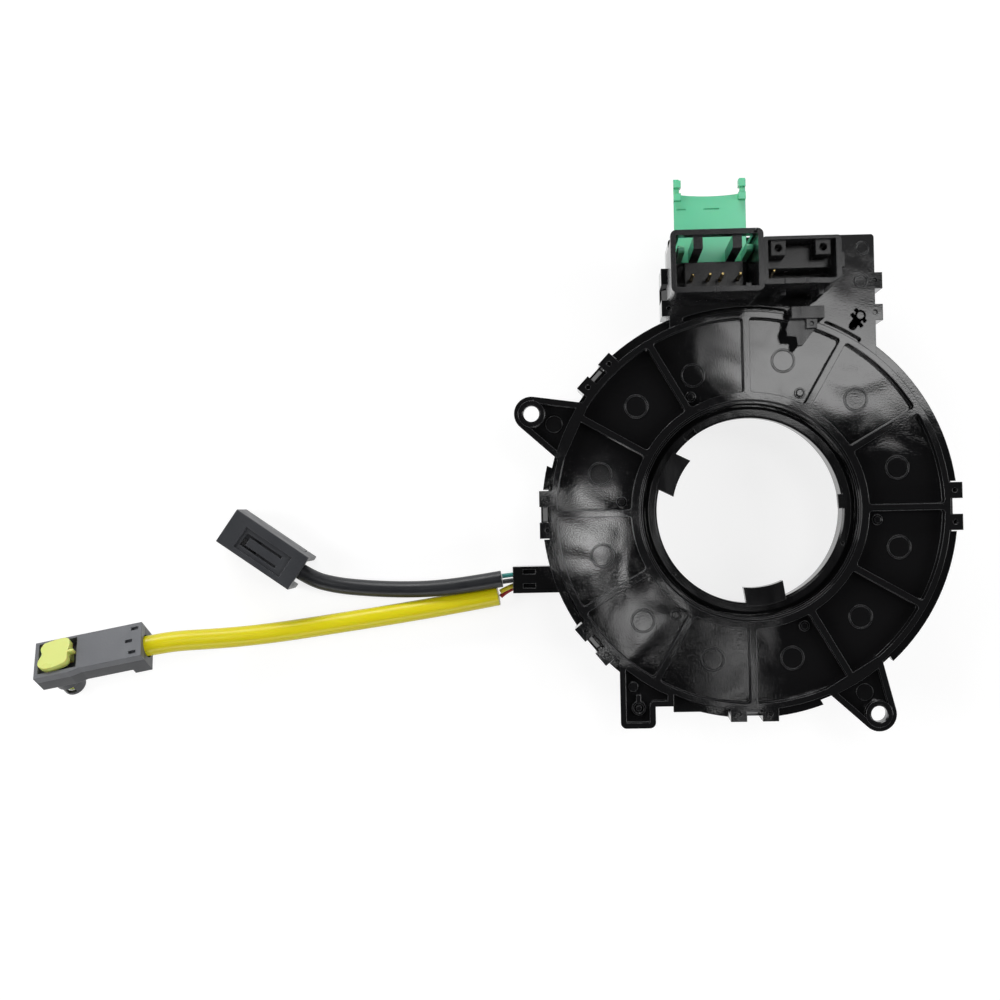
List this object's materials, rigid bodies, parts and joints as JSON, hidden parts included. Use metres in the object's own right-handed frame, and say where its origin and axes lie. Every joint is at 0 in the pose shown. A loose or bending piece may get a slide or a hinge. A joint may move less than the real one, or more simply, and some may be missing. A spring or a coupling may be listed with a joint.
{
  "type": "steering clock spring",
  "caption": "Round steering clock spring: a rotor turns in a ribbed ring case with a bracket that carries two sockets; a short harness on the rotor ends in a horn plug and a squib plug.",
  "frame": {"origin": "on the axis of the steering column bore, in the front face of the rotor's hub, on which it rests", "axes": "+Z along the column axis away from the steering wheel, +Y towards the connector bracket, -X towards the harness"},
  "size_m": [0.2392, 0.1389, 0.0479],
  "materials": {
    "case_plastic": "moulded, glossy",
    "connector_plastic": "moulded, satin",
    "plug_plastic": "moulded, satin",
    "green_lock_plastic": "translucent, moulded",
    "yellow_plastic": "moulded, satin",
    "gold_contact": "gold plated",
    "tin_contact": "tin plated",
    "slide_film": "slippery film",
    "ribbon_film": "laminated film",
    "teal_insulation": "smooth",
    "brown_insulation": "smooth",
    "amber_insulation": "smooth",
    "red_insulation": "smooth",
    "black_sleeving": "smooth tubing",
    "yellow_sleeving": "smooth tubing",
    "ferrite_block": "sintered"
  },
  "bodies": {
    "stator": {"column_plate": "case_plastic", "case_ring": "case_plastic", "main_connector": "connector_plastic", "aux_connector": "connector_plastic", "stator_terminal_block": "connector_plastic", "main_pin_1": "gold_contact", "main_pin_2": "gold_contact", "main_pin_3": "gold_contact", "main_pin_4": "gold_contact", "aux_pin": "gold_contact", "shorting_clip_1": "gold_contact", "shorting_clip_2": "gold_contact", "harness_clip": "connector_plastic"},
    "rotor": {"rotor": "case_plastic", "rotor_ring": "case_plastic", "slide_ring": "slide_film", "ribbon_cable": "ribbon_film", "wire_holder": "case_plastic", "wire_cover": "case_plastic", "rotor_terminal_block": "connector_plastic", "wire_teal": "teal_insulation", "wire_brown": "brown_insulation", "wire_amber": "amber_insulation", "wire_red": "red_insulation", "black_sleeve": "black_sleeving", "yellow_sleeve": "yellow_sleeving", "horn_plug_housing": "plug_plastic", "horn_plug_retainer": "plug_plastic", "horn_terminal_1": "tin_contact", "horn_terminal_2": "tin_contact", "squib_plug_housing": "plug_plastic", "squib_plug_cover": "plug_plastic", "squib_plug_collar": "yellow_plastic", "squib_ferrite": "ferrite_block", "squib_terminal_1": "tin_contact", "squib_terminal_2": "tin_contact"},
    "green_lock": {"green_lock": "green_lock_plastic"},
    "squib_lock": {"squib_plug_lock": "yellow_plastic"}
  },
  "joints": [
    {"name": "rotor_turn", "type": "hinge", "parent": "stator", "child": "rotor", "pos_m": [0, 0, 0], "axis": [0, 0, 1], "range_deg": [-900, 900]},
    {"name": "green_lock_slide", "type": "slide", "parent": "stator", "child": "green_lock", "axis": [0, -1, 0], "range_m": [0, 0.005]},
    {"name": "squib_lock_slide", "type": "slide", "parent": "rotor", "child": "squib_lock", "axis": [0.1022, -0.5571, -0.8241], "range_m": [0, 0.0015]}
  ]
}
